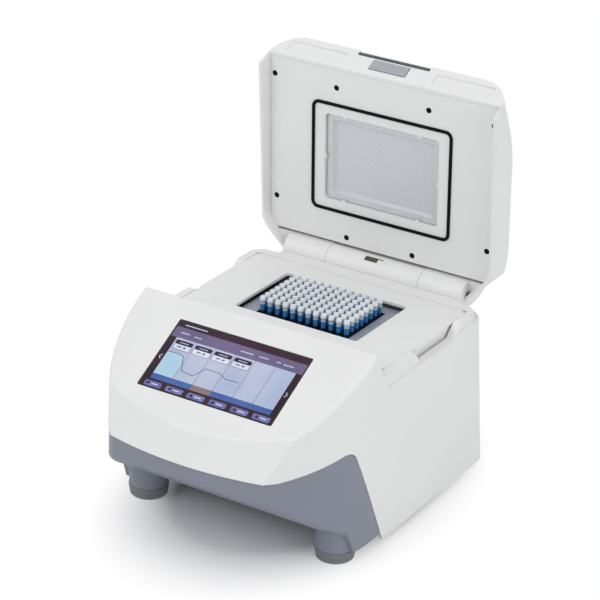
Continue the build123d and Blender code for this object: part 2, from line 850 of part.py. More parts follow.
def lid_form(inset):
    """Domed outer surface of the closed lid, or a smaller copy."""
    body = side_form(lid_profile(inset), lid_skirt_half_width)
    low_z = ledge_front_z - wall * 3
    top_half = lid_skirt_half_width - inset - (lid_top_z - low_z) * tangent(lid_side_lean)
    low_half = lid_skirt_half_width - inset
    section = make_face(
        Polyline((-low_half, low_z), (low_half, low_z), (top_half, lid_top_z), (-top_half, lid_top_z), close=True)
    )
    body = body & extrude(Plane.XZ * section, amount=far, both=True)
    side_edges = [
        edge
        for edge in body.edges()
        if edge.center().Z > lid_face_z + lid_lip_height / 3
        and abs(edge.center().X) > knuckle_outer_x
        and abs((edge % 0.5).Z) < 0.95
        and edge.bounding_box().max.Y > crest_y + wall * 2
    ]
    body = fillet(side_edges, lid_side_radius - inset)
    return body & extrude(Pos(0, 0, -wall) * lid_plan(inset), amount=far)


def skirt_cut():
    """Space inside the lid skirts, below the lid's inner face."""
    inner = lid_skirt_half_width - lid_skirt_inner
    low_z = ledge_front_z - wall * 4
    return extrude(Pos(0, 0, low_z) * lid_plan(inner), amount=lid_face_z - low_z)


def knuckle_rods(radius, clearance):
    """Round bars where the lid's two knuckles turn on the hinge axis."""
    low = barrel_half_length + clearance
    return both(x_rod(radius, low, knuckle_outer_x, hinge_y, hinge_z))


def lid_front_plane():
    """Drawing plane on the lid's front face, starting at its inner edge."""
    lean = math.radians(crest_back_lean)
    return Plane(
        origin=(0, crest_back_y(lid_face_z) + lid_front_gap, lid_face_z),
        x_dir=(1, 0, 0),
        z_dir=(0, -math.cos(lean), -math.sin(lean)),
    )


def front_pad(half_width, low, high, depth_low, depth_high, centre_x=0.0, radius=1.0):
    """A rounded block on the lid's front face; depths count inwards."""
    outline = Pos(centre_x, (low + high) / 2) * RectangleRounded(2 * half_width, high - low, radius)
    return extrude(lid_front_plane() * Pos(0, 0, -depth_high) * outline, amount=depth_high - depth_low)


def window_plan(margin):
    """Plan of the lid window, centred on the tube grid when the lid is shut."""
    length = window_front_reach - window_rear_reach
    centre_y = hinge_y - (window_front_reach + window_rear_reach) / 2
    return Pos(0, centre_y) * RectangleRounded(
        2 * (window_half_x + margin), length + 2 * margin, max(window_corner_radius + margin, 0.8)
    )


def seal_plan(margin):
    """Plan of the lid's seal line."""
    length = seal_front_reach - seal_rear_reach
    centre_y = hinge_y - (seal_front_reach + seal_rear_reach) / 2
    return Pos(0, centre_y) * RectangleRounded(
        2 * (seal_half_x + margin), length + 2 * margin, seal_corner_radius + margin
    )


def lid_shell():
    """White domed cover with its skirts and hinge knuckles."""
    body = lid_form(0)
    body = body - skirt_cut()
    skirt_low = [
        (-far, -far),
        (-far, ledge_z(-far) + lid_skirt_gap),
        (far, ledge_z(far) + lid_skirt_gap),
        (far, -far),
    ]
    body = body - side_prism(skirt_low, far)
    rear = block((-knuckle_outer_x, knuckle_outer_x), (hinge_y - barrel_radius, far), (0, hinge_z))
    body = body - rear
    hollow = lid_form(lid_wall) & block((-far, far), (-far, far), (lid_face_z, lid_top_z))
    hollow = hollow & block((-far, far), (-far, hinge_y - barrel_radius), (0, far))
    body = body - hollow
    for knuckle in knuckle_rods(barrel_radius, hinge_gap):
        body = body + knuckle
    for bore in knuckle_rods(hinge_pin_radius + hinge_pin_clearance, 0):
        body = body - (bore & block((-far, far), (-far, far), (0, far)))
    notch_half = barrel_half_length + hinge_gap
    body = body - x_rod(barrel_radius + trough_clearance, -notch_half, notch_half, hinge_y, hinge_z)
    notch_top = hinge_z + barrel_radius + trough_clearance
    body = body - block((-notch_half, notch_half), (hinge_y, far), (0, notch_top))
    for side in (-1, 1):
        middle = side * (pocket_inner_x + pocket_outer_x) / 2
        half = (pocket_outer_x - pocket_inner_x) / 2
        body = body - front_pad(half, pocket_low, pocket_high, -wall, pocket_depth, middle)
    body = body - front_pad(latch_half_width + latch_gap, pocket_low, pocket_high, -wall, lid_wall * 2)
    body = body - front_pad(grip_half_width, grip_low, lid_lip_height * 2, -wall * 2, lid_wall - 0.8)
    nodes["lid_shell"] = body


def lid_inside():
    """Inner cover, window frame, seal, screw plugs and insulation."""
    plan = lid_plan(lid_wall + cover_gap)
    rear = hinge_y - barrel_radius - lid_wall
    cover = extrude(Pos(0, 0, lid_face_z) * plan, amount=cover_thick) & lid_form(lid_wall + cover_gap)
    cover = cover & block((-far, far), (-far, rear), (0, far))
    cover = cover - extrude(Pos(0, 0, lid_face_z - 1) * window_plan(0), amount=cover_thick + 2)
    channel = seal_plan(cover_gap / 2) - seal_plan(-seal_width - cover_gap / 2)
    cover = cover - extrude(Pos(0, 0, lid_face_z - 1) * channel, amount=1 + seal_sunk + 0.1)
    places = [(side * x, hinge_y - reach) for x, reach in plug_spots for side in (-1, 1)]
    for x, y in places:
        cover = cover - Pos(x, y, lid_face_z) * Cylinder(plug_radius + 0.05, 2 * plug_sunk)
    nodes["lid_inner_cover"] = cover
    ring = seal_plan(0) - seal_plan(-seal_width)
    nodes["lid_seal"] = extrude(Pos(0, 0, lid_face_z - seal_proud) * ring, amount=seal_proud + seal_sunk)
    plug = Cylinder(plug_radius, plug_sunk - 0.1)
    nodes["screw_plugs"] = [Pos(x, y, lid_face_z + plug_sunk / 2) * plug for x, y in places]
    frame_low = lid_face_z + cover_thick + 0.3
    frame_high = lid_face_z + plate_face_depth + plate_thick + heater_thick + plate_travel + 2
    frame = window_plan(2.0) - window_plan(-0.2)
    frame = extrude(Pos(0, 0, frame_low) * frame, amount=frame_high - frame_low)
    nodes["window_frame"] = frame
    roof = extrude(Pos(0, 0, frame_high + 0.3) * window_plan(2.0), amount=8)
    nodes["lid_insulation"] = roof


def heated_plate():
    """Dished metal plate that presses on the tube caps, with its heater."""
    rim_z = lid_face_z + plate_rim_depth
    face_z = lid_face_z + plate_face_depth
    rise = face_z - rim_z
    outer = window_plan(-plate_gap)
    inner = window_plan(-plate_gap - plate_rim_width)
    plate = extrude(Pos(0, 0, rim_z) * outer, amount=rise + plate_thick)
    dish = extrude(Pos(0, 0, rim_z) * inner, amount=rise, taper=plate_draft)
    plate = plate - dish
    back = window_plan(-plate_gap - 3 * plate_thick)
    plate = plate & extrude(Pos(0, 0, rim_z) * outer, amount=rise + plate_thick)
    nodes["heated_plate"] = plate
    mat_z = face_z + plate_thick + 0.1
    nodes["heater_mat"] = extrude(Pos(0, 0, mat_z) * back, amount=heater_thick)


def latch():
    """Sprung latch button on the lid's front face and its strike."""
    button = front_pad(latch_half_width, pocket_low + 0.6, pocket_high - 0.6, -latch_proud, latch_depth)
    nodes["latch_button"] = button
    case = front_pad(
        latch_half_width + 5, pocket_low - 3, pocket_high + 3, lid_wall + 0.3, latch_depth + latch_travel + 4
    )
    case = case - front_pad(
        latch_half_width + latch_gap,
        pocket_low,
        pocket_high,
        0,
        latch_depth + latch_travel + 1.2,
    )
    nodes["latch_case"] = case


def hinge_pins():
    """Steel pins through the barrel and the knuckles."""
    reach = knuckle_outer_x - 6
    pin = x_rod(hinge_pin_radius, barrel_half_length - 30, reach, hinge_y, hinge_z)
    nodes["hinge_pins"] = both(pin)


def panel_shape(width, height, x, up, low, high, radius=2.0):
    """A rounded block on the rear wall between two heights above it."""
    outline = Pos(x, up) * RectangleRounded(width, height, radius)
    return extrude(rear_plane() * Pos(0, 0, low) * outline, amount=high - low)


def panel_disc(radius, x, up, low, high):
    """A round block on the rear wall between two heights above it."""
    return extrude(rear_plane() * Pos(x, up, low) * Circle(radius), amount=high - low)


def rear_panel():
    """Metal rear panel with its fan grille and cut-outs."""
    middle = (panel_low + panel_high) / 2
    seat = -wall
    body = panel_shape(2 * panel_half_width, panel_high - panel_low, 0, middle, seat, seat + panel_thick, 6)
    ring_step = (fan_size / 2 - fan_hub_radius / 2) / grille_rings
    for index in range(grille_rings):
        outer = fan_size / 2 - 2 - index * ring_step
        inner = outer - ring_step + grille_bar
        ring = panel_disc(outer, fan_centre_x, fan_centre_up, seat - 1, 1)
        ring = ring - panel_disc(inner, fan_centre_x, fan_centre_up, seat - 2, 2)
        for angle in (45, 135):
            spoke = Pos(fan_centre_x, fan_centre_up) * Rot(0, 0, angle) * Rectangle(fan_size * 1.2, grille_bar)
            ring = ring - extrude(rear_plane() * Pos(0, 0, -wall * 2) * spoke, amount=wall * 4)
        body = body - ring
    drop = drawer_height / 2
    body = body - panel_shape(
        inlet_width + 0.6, inlet_height + drawer_height + 0.6, inlet_x, inlet_up - drop, seat - 1, 1, 1
    )
    body = body - panel_shape(14.6, 21.6, inlet_x, switch_up, seat - 1, 1, 0.6)
    body = body - panel_shape(13.6, 6.2, port_x, inlet_up, seat - 1, 1, 0.5)
    body = body - panel_shape(16.6, 14.2, port_x, inlet_up + 22, seat - 1, 1, 0.5)
    nodes["rear_panel"] = body


def rear_parts():
    """Power inlet, fuse drawer, switch, data ports and cooling fan."""
    inlet = panel_shape(inlet_width + 8, inlet_height + 17, inlet_x, inlet_up - 3.5, seat_out, seat_out + 1.6, 2)
    inlet = inlet + panel_shape(
        inlet_width, inlet_height + drawer_height, inlet_x, inlet_up - drawer_height / 2, -inlet_depth, seat_out + 1, 2
    )
    inlet = inlet - panel_shape(inlet_width - 3, inlet_height - 4, inlet_x, inlet_up, -inlet_cavity, 9, 3)
    drawer_up = inlet_up - inlet_height / 2 - 3.6
    inlet = inlet - panel_shape(20.6, 6.6, inlet_x, drawer_up, -inlet_depth, 9, 0.5)
    for index in (-1, 0, 1):
        rise = 1.8 if index else -1.8
        blade = panel_shape(2.0, 4.2, inlet_x + index * 7.0, inlet_up + rise, -inlet_cavity - 1, -7.5, 0.3)
        inlet = inlet + blade
    nodes["power_inlet"] = inlet
    drawer = panel_shape(20.0, 6.0, inlet_x, drawer_up, -drawer_depth, seat_out + 1.4, 0.4)
    drawer = drawer - panel_shape(17.0, 3.4, inlet_x, drawer_up, -drawer_depth + 2, -4.0, 0.3)
    drawer = drawer + panel_shape(8.0, 1.2, inlet_x, drawer_up + 1.2, seat_out + 1, seat_out + 2.4, 0.2)
    nodes["fuse_drawer"] = drawer

    bezel = panel_shape(17.0, 24.0, inlet_x, switch_up, seat_out, seat_out + 1.4, 1)
    bezel = bezel + panel_shape(14.0, 21.0, inlet_x, switch_up, -switch_depth, seat_out + 1, 0.5)
    bezel = bezel - panel_shape(11.2, 18.2, inlet_x, switch_up, -switch_depth + 4, 9, 0.3)
    nodes["switch_housing"] = bezel
    rocker = make_face(Polyline((-8.0, -5.0), (-8.0, 1.0), (0, -0.3), (8.0, 1.0), (8.0, -5.0), (0, -7.0), close=True))
    place = rear_plane() * Pos(inlet_x, switch_up, seat_out)
    rocker = extrude(Plane.YZ * rocker, amount=5.0, both=True)
    nodes["power_rocker"] = place * (Rot(switch_swing / 2, 0, 0) * rocker)

    usb = panel_shape(13.0, 5.6, port_x, inlet_up, -port_depth, seat_out + 0.4, 0.4)
    usb = usb - panel_shape(12.2, 4.8, port_x, inlet_up, -port_depth + 2, 9, 0.3)
    usb = usb + panel_shape(11.0, 1.5, port_x, inlet_up + 1.2, -port_depth + 1, seat_out - 1.5, 0.2)
    nodes["usb_port"] = usb
    lan = panel_shape(16.0, 13.6, port_x, inlet_up + 22, -port_depth, seat_out + 0.4, 0.4)
    lan = lan - panel_shape(12.0, 8.0, port_x, inlet_up + 21.5, -port_depth + 2, 9, 0.3)
    nodes["lan_port"] = lan

    fan_front = -wall - 0.3
    fan_back = fan_front - fan_depth
    frame = panel_shape(fan_size, fan_size, fan_centre_x, fan_centre_up, fan_back, fan_front, 4)
    duct = fan_size / 2 - 2
    frame = frame - panel_disc(duct, fan_centre_x, fan_centre_up, fan_back - 1, fan_front + 1)
    frame = frame + panel_disc(fan_hub_radius, fan_centre_x, fan_centre_up, fan_back, fan_back + 3)
    for angle in (45, 135, 225, 315):
        strut = Pos(fan_centre_x, fan_centre_up) * Rot(0, 0, angle) * Pos(duct / 2 + 3, 0) * Rectangle(duct, 4)
        frame = frame + extrude(rear_plane() * Pos(0, 0, fan_back) * strut, amount=3)
    frame = frame + panel_disc(fan_shaft_radius, fan_centre_x, fan_centre_up, fan_back + 2, fan_front - 4)
    nodes["fan_frame"] = frame
    rotor = panel_disc(fan_hub_radius, fan_centre_x, fan_centre_up, fan_back + 4, fan_front - 1.5)
    rotor = rotor - panel_disc(
        fan_shaft_radius + fan_shaft_clearance, fan_centre_x, fan_centre_up, fan_back, fan_front - 3.5
    )
    blade_outline = Pos((fan_hub_radius + duct - fan_tip_gap) / 2 - 1, 0) * Rectangle(
        duct - fan_tip_gap - fan_hub_radius + 2, 1.8
    )
    for index in range(fan_blades):
        turn = Rot(0, 0, index * 360 / fan_blades)
        blade = extrude(blade_outline, amount=9.0, both=True)
        blade = Rot(fan_blade_pitch, 0, 0) * blade
        middle = (fan_front - 1.5 + fan_back + 4) / 2
        rotor = rotor + rear_plane() * Pos(fan_centre_x, fan_centre_up, middle) * (turn * blade)
    nodes["fan_rotor"] = rotor


def inner_parts():
    """Power supply, main board and the rails that carry the module."""
    floor_z = pan_z + pan_wall + 0.3
    supply = block((-112, -22), (-70, 72), (floor_z, floor_z + 36))
    for index in range(6):
        x = -98 + index * 12.5
        supply = supply - block((x, x + 5), (-60, 60), (floor_z + 34.5, floor_z + 40))
    nodes["power_supply"] = supply
    board = block((4, 112), (-70, 60), (floor_z + 7, floor_z + 8.6))
    for x, y, length, width, height in [(30, 30, 26, 26, 6), (70, 10, 40, 18, 9), (40, -40, 50, 12, 14)]:
        board = board + block((x, x + length), (y, y + width), (floor_z + 8, floor_z + 8 + height))
    nodes["main_board"] = board
    posts = []
    for x in (10, 106):
        for y in (-64, 54):
            posts.append(Pos(x, y, floor_z + 3.35) * Cylinder(3.2, 6.7))
    nodes["board_feet"] = posts
    rail_top = module_flange_z() - 0.3
    rail_outer = base_half_width - wall - 0.3 - rail_top * tangent(side_draft)
    rail = block((rail_outer - 16, rail_outer), (module_front_y, module_rear_y), (rail_top - 3, rail_top))
    rail = rail + block((rail_outer - 3, rail_outer), (module_front_y, module_rear_y), (rail_top - 14, rail_top))
    nodes["module_rails"] = both(rail)


def finish():
    """Open the lid, move the instrument to its origin and write each node."""
    lid_nodes = [
        "lid_shell",
        "lid_inner_cover",
        "lid_seal",
        "screw_plugs",
        "window_frame",
        "lid_insulation",
        "heated_plate",
        "heater_mat",
        "latch_button",
        "latch_case",
    ]
    solids = {}
    for name, shapes in nodes.items():
        shapes = shapes if isinstance(shapes, list) else [shapes]
        found = [solid for shape in shapes for solid in shape.solids()]
        if name in lid_nodes:
            found = [solid.rotate(hinge_axis, -lid_open_angle) for solid in found]
        solids[name] = found
    everything = Compound([solid for found in solids.values() for solid in found]).bounding_box()
    shift = Pos(0, -(everything.min.Y + everything.max.Y) / 2, 0)
    for name, found in solids.items():
        moved = [shift * solid for solid in found]
        whole = moved[0] if len(moved) == 1 else Compound(moved)
        export_step(whole, "parts/" + name + ".step")


upper_housing()
lower_housing()
feet()
screen()
module()
tubes()
lid_shell()
lid_inside()
heated_plate()
latch()
hinge_pins()
rear_panel()
rear_parts()
inner_parts()
finish()
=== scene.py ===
import math
import bmesh
import bpy
from mathutils import Matrix, Vector


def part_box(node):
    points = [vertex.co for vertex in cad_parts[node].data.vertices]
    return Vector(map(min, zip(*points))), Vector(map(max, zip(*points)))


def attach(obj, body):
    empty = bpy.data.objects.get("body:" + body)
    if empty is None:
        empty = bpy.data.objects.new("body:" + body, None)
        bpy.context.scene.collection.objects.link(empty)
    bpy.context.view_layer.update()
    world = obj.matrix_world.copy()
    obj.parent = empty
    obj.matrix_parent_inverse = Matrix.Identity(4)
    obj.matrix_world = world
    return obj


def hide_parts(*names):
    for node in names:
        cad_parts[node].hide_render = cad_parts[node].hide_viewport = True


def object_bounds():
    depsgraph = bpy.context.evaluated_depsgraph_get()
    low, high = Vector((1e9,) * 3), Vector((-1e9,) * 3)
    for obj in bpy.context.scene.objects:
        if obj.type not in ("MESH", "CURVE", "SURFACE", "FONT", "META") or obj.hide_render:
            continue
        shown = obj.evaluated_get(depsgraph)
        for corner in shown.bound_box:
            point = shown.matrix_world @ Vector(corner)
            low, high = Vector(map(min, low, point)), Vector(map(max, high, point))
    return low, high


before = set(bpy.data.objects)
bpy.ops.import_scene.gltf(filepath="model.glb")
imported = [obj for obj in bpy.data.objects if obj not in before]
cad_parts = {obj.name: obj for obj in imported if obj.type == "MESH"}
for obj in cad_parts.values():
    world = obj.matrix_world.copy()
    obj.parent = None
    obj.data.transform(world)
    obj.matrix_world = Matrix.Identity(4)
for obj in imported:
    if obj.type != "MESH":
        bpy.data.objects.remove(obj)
cad_low, cad_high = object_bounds()

# The white covers: the base's upper shell, the domed lid with its inner cover
# and the lift-out deck. Injection moulded in white ABS with a fine
# spark-eroded texture, so they have a soft sheen and a faint grain.
white_colour = (0.787, 0.787, 0.776, 1)
grain_relief = 0.00004
sheen_spread = 0.05


def two_tones(tree, factor, low, high, low_at, high_at):
    """A colour that changes from one tone to another as a pattern rises."""
    tones = tree.nodes.new("ShaderNodeValToRGB")
    tones.color_ramp.elements[0].position = low_at
    tones.color_ramp.elements[0].color = low
    tones.color_ramp.elements[1].position = high_at
    tones.color_ramp.elements[1].color = high
    tree.links.new(factor, tones.inputs["Fac"])
    return tones.outputs["Color"]


def speckle(tree, scale, detail):
    """A fine pattern fixed to the piece."""
    place = tree.nodes.new("ShaderNodeTexCoord")
    pattern = tree.nodes.new("ShaderNodeTexNoise")
    pattern.inputs["Scale"].default_value = scale
    pattern.inputs["Detail"].default_value = detail
    tree.links.new(place.outputs["Object"], pattern.inputs["Vector"])
    return pattern.outputs["Fac"]


def raise_surface(tree, height, strength, distance):
    """Roughens the surface by a pattern's height."""
    relief = tree.nodes.new("ShaderNodeBump")
    relief.inputs["Strength"].default_value = strength
    relief.inputs["Distance"].default_value = distance
    tree.links.new(height, relief.inputs["Height"])
    tree.links.new(relief.outputs["Normal"], tree.nodes["Principled BSDF"].inputs["Normal"])


def moulded_plastic(name, colour, roughness, grain_mm, grain_height, tone):
    """Moulded plastic with spark-eroded grain and slightly uneven sheen."""
    plastic = bpy.data.materials.new(name)
    plastic.use_nodes = True
    tree = plastic.node_tree
    shader = tree.nodes["Principled BSDF"]
    shader.inputs["IOR"].default_value = 1.5
    drift = speckle(tree, 14, 3)
    deep = [part * (1 - tone) for part in colour[:3]] + [1]
    pale = [min(part * (1 + tone), 1) for part in colour[:3]] + [1]
    tree.links.new(two_tones(tree, drift, deep, pale, 0.3, 0.7), shader.inputs["Base Color"])
    sheen = tree.nodes.new("ShaderNodeMapRange")
    sheen.inputs["To Min"].default_value = roughness - sheen_spread
    sheen.inputs["To Max"].default_value = roughness + sheen_spread
    tree.links.new(drift, sheen.inputs["Value"])
    tree.links.new(sheen.outputs["Result"], shader.inputs["Roughness"])
    raise_surface(tree, speckle(tree, 1000 / grain_mm, 2), grain_height, grain_relief)
    return plastic


def finish_nodes(material, *names):
    """Gives whole CAD nodes one material."""
    for name in names:
        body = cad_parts[name]
        body.data.materials.clear()
        body.data.materials.append(material)


white_abs = moulded_plastic("white_abs", white_colour, 0.42, 0.5, 0.25, 0.012)
finish_nodes(white_abs, "upper_housing", "lid_shell", "lid_inner_cover", "module_deck")

# The grey lower housing: front band, sloping belly with its vents, cheeks and
# pillars, moulded in slate grey ABS and screwed to the white shell from below.
# The tray under the deck is the same plastic.
slate_colour = (0.222, 0.238, 0.288, 1)
slate_abs = moulded_plastic("slate_abs", slate_colour, 0.46, 0.5, 0.3, 0.03)
finish_nodes(slate_abs, "lower_housing", "module_tray")

# The foot pads: round cups of filled rubber, moulded with a fine grain. A
# screw in a sunk hole under each holds it to its pillar or boss.
rubber_colour = (0.185, 0.195, 0.205, 1)
pad_rubber = moulded_plastic("pad_rubber", rubber_colour, 0.62, 0.9, 0.5, 0.06)
finish_nodes(pad_rubber, "foot_pads")

# Screws, hinge pins and port shells: zinc-plated steel, turned or pressed and
# then tumbled, so that the plating is a little uneven.


def tumbled_metal(name, low, high, roughness, streak_scale):
    """Plated or bare metal with streaks left by tumbling."""
    metal = bpy.data.materials.new(name)
    metal.use_nodes = True
    tree = metal.node_tree
    shader = tree.nodes["Principled BSDF"]
    shader.inputs["Metallic"].default_value = 1
    shader.inputs["Roughness"].default_value = roughness
    streaks = tree.nodes.new("ShaderNodeTexNoise")
    streaks.inputs["Scale"].default_value = streak_scale
    tree.links.new(two_tones(tree, streaks.outputs["Fac"], low, high, 0, 1), shader.inputs["Base Color"])
    return metal


steel = tumbled_metal("zinc_steel", (0.45, 0.46, 0.48, 1), (0.62, 0.63, 0.65, 1), 0.32, 900)
finish_nodes(steel, "foot_screws", "frame_screws", "hinge_pins", "usb_port", "lan_port")

# The touch screen: a cover glass set flush in the sloping panel, printed black
# behind. Its face gives the directions and the corner from which places on it
# are measured in millimetres, across and down.
glass_colour = (0.012, 0.008, 0.016, 1)
glass_black = moulded_plastic("glass_black", glass_colour, 0.16, 3.0, 0.02, 0.1)
finish_nodes(glass_black, "display_glass")
glass_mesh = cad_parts["display_glass"].data
panel_face = max(glass_mesh.polygons, key=lambda face: face.area * (face.normal.z > 0.5))
panel_up = panel_face.normal.copy()
panel_right = Vector((1, 0, 0))
panel_down = panel_right.cross(panel_up)
glass_low, glass_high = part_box("display_glass")
face_points = [
    glass_mesh.vertices[corner].co
    for face in glass_mesh.polygons
    if face.normal.dot(panel_up) > 0.99
    for corner in face.vertices
]
screen_top = min(point.dot(panel_down) for point in face_points)
screen_low = max(point.dot(panel_down) for point in face_points)
panel_level = face_points[0].dot(panel_up)
width_mm = (glass_high.x - glass_low.x) * 1000
length_mm = (screen_low - screen_top) * 1000


def on_screen(across_mm, down_mm, lift_mm):
    """The point at a place on the screen, lifted off the glass."""
    across = glass_low.x + across_mm / 1000
    down = screen_top + down_mm / 1000
    return panel_right * across + panel_down * down + panel_up * (panel_level + lift_mm / 1000)


def lit_colour(name, low, high, scale=22):
    """A lit patch of the display, with a soft change of tone over it."""
    lit = bpy.data.materials.new(name)
    lit.use_nodes = True
    tree = lit.node_tree
    shader = tree.nodes["Principled BSDF"]
    tone = two_tones(tree, speckle(tree, scale, 1), low, high, 0.35, 0.65)
    tree.links.new(tone, shader.inputs["Base Color"])
    tree.links.new(tone, shader.inputs["Emission Color"])
    shader.inputs["Emission Strength"].default_value = 0.02
    shader.inputs["Specular IOR Level"].default_value = 0.22
    shader.inputs["Roughness"].default_value = 0.25
    return lit


def screen_patch(name, outline, lift_mm, material):
    """A flat shape on the display, from its outline in screen millimetres."""
    mesh = bpy.data.meshes.new(name)
    points = [on_screen(across, down, lift_mm) for across, down in outline]
    mesh.from_pydata(points, [], [range(len(points))])
    mesh.materials.append(material)
    patch = bpy.data.objects.new(name, mesh)
    bpy.context.collection.objects.link(patch)
    if mesh.polygons[0].normal.dot(panel_up) < 0:
        mesh.flip_normals()
    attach(patch, "base")


def rounded(left, top, width, height, radius, steps=5):
    """Outline of a rounded rectangle in screen millimetres."""
    corners = [
        (left + width - radius, top + radius, -90),
        (left + width - radius, top + height - radius, 0),
        (left + radius, top + height - radius, 90),
        (left + radius, top + radius, 180),
    ]
    outline = []
    for across, down, start in corners:
        for step in range(steps + 1):
            turn = math.radians(start + 90 * step / steps)
            outline.append((across + radius * math.cos(turn), down + radius * math.sin(turn)))
    return outline


def upright(left, top, right, low):
    """Outline of a sharp-cornered rectangle in screen millimetres."""
    return [(left, top), (right, top), (right, low), (left, low)]


# The display's ground: a dark maroon surround with a purple heading, and the
# pale field on which the programme is drawn, its first step tinted cyan.
display_maroon = lit_colour("display_maroon", (0.026, 0.010, 0.020, 1), (0.048, 0.020, 0.034, 1))
display_header = lit_colour("display_header", (0.125, 0.100, 0.200, 1), (0.170, 0.135, 0.250, 1))
display_field = lit_colour("display_field", (0.400, 0.470, 0.640, 1), (0.500, 0.540, 0.680, 1))
display_first = lit_colour("display_first", (0.400, 0.600, 0.720, 1), (0.480, 0.650, 0.760, 1))
border = 1.6
header_top = 8.3
field_left, field_right = 8.4, 145.5
field_top, field_low = 20.6, 66.3
column_count = 6
column_width = (field_right - field_left) / column_count
lit_width = width_mm - 2 * border
lit_length = length_mm - 2 * border
screen_patch("display_ground", rounded(border, border, lit_width, lit_length, 0.5), 0.03, display_maroon)
header_outline = upright(border, header_top, width_mm - border, field_top)
screen_patch("display_header", header_outline, 0.05, display_header)
field_outline = upright(field_left, field_top, field_right, field_low)
screen_patch("display_field", field_outline, 0.06, display_field)
first_right = field_left + column_width
first_crest = [(field_left, 38.4), (22.0, 38.0), (27.4, 39.6)]
first_outline = first_crest + [(first_right, 50), (first_right, field_low), (field_left, field_low)]
screen_patch("display_first_step", first_outline, 0.07, display_first)

# The foot of the display: a blue bar with one step lit orange, rules between
# the steps and six rounded buttons, each with a plain mark and a plain bar.
display_blue = lit_colour("display_blue", (0.050, 0.110, 0.340, 1), (0.080, 0.150, 0.400, 1))
display_orange = lit_colour("display_orange", (0.200, 0.160, 0.170, 1), (0.260, 0.200, 0.200, 1))
display_button = lit_colour("display_button", (0.120, 0.130, 0.330, 1), (0.200, 0.200, 0.430, 1), 176)
display_pale = lit_colour("display_pale", (0.600, 0.640, 0.780, 1), (0.720, 0.740, 0.840, 1))
display_line = lit_colour("display_line", (0.090, 0.090, 0.150, 1), (0.120, 0.120, 0.190, 1))
display_dark = lit_colour("display_dark", (0.020, 0.014, 0.030, 1), (0.035, 0.022, 0.045, 1))
bar_low = 72.6
rule_half = 0.2
running_step = 2
button_first, button_pitch = 5.6, 24.85
button_top, button_width, button_height = 75.3, 19.4, 6.2
for index in range(column_count):
    left = field_left + index * column_width
    colour = display_orange if index == running_step else display_blue
    bar = upright(left, field_low, left + column_width, bar_low)
    screen_patch("display_bar_%d" % index, bar, 0.07, colour)
    if index:
        rule = upright(left - rule_half, field_top, left + rule_half, bar_low)
        screen_patch("display_rule_%d" % index, rule, 0.09, display_line)
    start = button_first + index * button_pitch
    rim = rounded(start - 0.5, button_top - 0.4, button_width + 1, button_height + 0.9, 1.9)
    face = rounded(start, button_top, button_width, button_height, 1.6)
    mark = rounded(start + 3, button_top + 1.7, 3.0, 2.6, 0.8)
    caption = rounded(start + 8, button_top + 2.5, 7.5, 1.1, 0.5)
    screen_patch("display_button_rim_%d" % index, rim, 0.05, display_dark)
    screen_patch("display_button_%d" % index, face, 0.07, display_button)
    screen_patch("display_button_mark_%d" % index, mark, 0.09, display_dark)
    screen_patch("display_button_bar_%d" % index, caption, 0.09, display_pale)

# The programme: the temperature line, 0.7 mm wide, and four step cards over
# it. The marks on the cards stand for figures and are plain bars.
line_half = 0.35
line_points = [
    (8.6, 38.4), (21.6, 38.0), (27.4, 39.6), (34.6, 55.4), (48.6, 57.0),
    (57.3, 45.2), (73.0, 45.4), (82.1, 49.7), (96.2, 49.2),
]
for index, (start, end) in enumerate(zip(line_points, line_points[1:])):
    start, end = Vector(start), Vector(end)
    along = (end - start).normalized() * line_half
    side = Vector((-along.y, along.x))
    corners = [start - along + side, end + along + side, end + along - side, start - along - side]
    screen_patch("display_curve_%d" % index, [tuple(corner) for corner in corners], 0.10, display_line)
card_first, card_pitch, card_count = 10.4, 22.7, 4
card_top, card_width, card_height = 23.2, 19.0, 10.6
for index in range(card_count):
    left = card_first + index * card_pitch
    rim = rounded(left - 0.5, card_top - 0.5, card_width + 1, card_height + 1, 1.9)
    card = rounded(left, card_top, card_width, card_height, 1.5)
    head = rounded(left, card_top, card_width, 4.6, 1.2)
    head_mark = rounded(left + 4.2, card_top + 1.8, 10.6, 0.9, 0.4)
    mark = rounded(left + 4.0, card_top + 6.7, 5.0, 1.2, 0.5)
    value = rounded(left + 11.0, card_top + 6.4, 3.0, 1.8, 0.6)
    screen_patch("display_card_rim_%d" % index, rim, 0.10, display_line)
    screen_patch("display_card_%d" % index, card, 0.12, display_pale)
    screen_patch("display_card_head_%d" % index, head, 0.14, display_dark)
    screen_patch("display_card_head_mark_%d" % index, head_mark, 0.16, display_field)
    screen_patch("display_card_mark_%d" % index, mark, 0.16, display_line)
    screen_patch("display_card_value_%d" % index, value, 0.16, display_line)

# The heading's entries, as plain bars, and the two arrows at the sides of the
# field that page through the steps.
heading_bars = {
    "title": (9, 4.2, 26),
    "mode": (9, 13.6, 11),
    "kind": (25, 14.2, 9),
    "volume": (79, 14.0, 15),
    "amount": (100, 14.0, 11),
    "lid": (120, 14.0, 5),
    "heat": (128, 14.6, 12),
}
for name, (left, top, length) in heading_bars.items():
    screen_patch("display_text_" + name, rounded(left, top, length, 1.3, 0.6), 0.08, display_field)
arrow_top, arrow_middle, arrow_low = 43.6, 46.4, 49.2
for name, centre, reach in (("back", 4.6, -1.5), ("next", 149.0, 1.5)):
    arrow = [
        (centre - reach, arrow_top),
        (centre - reach * 0.3, arrow_top),
        (centre + reach, arrow_middle),
        (centre - reach * 0.3, arrow_low),
        (centre - reach, arrow_low),
        (centre + reach * 0.35, arrow_middle),
    ]
    screen_patch("display_arrow_" + name, arrow, 0.08, display_pale)

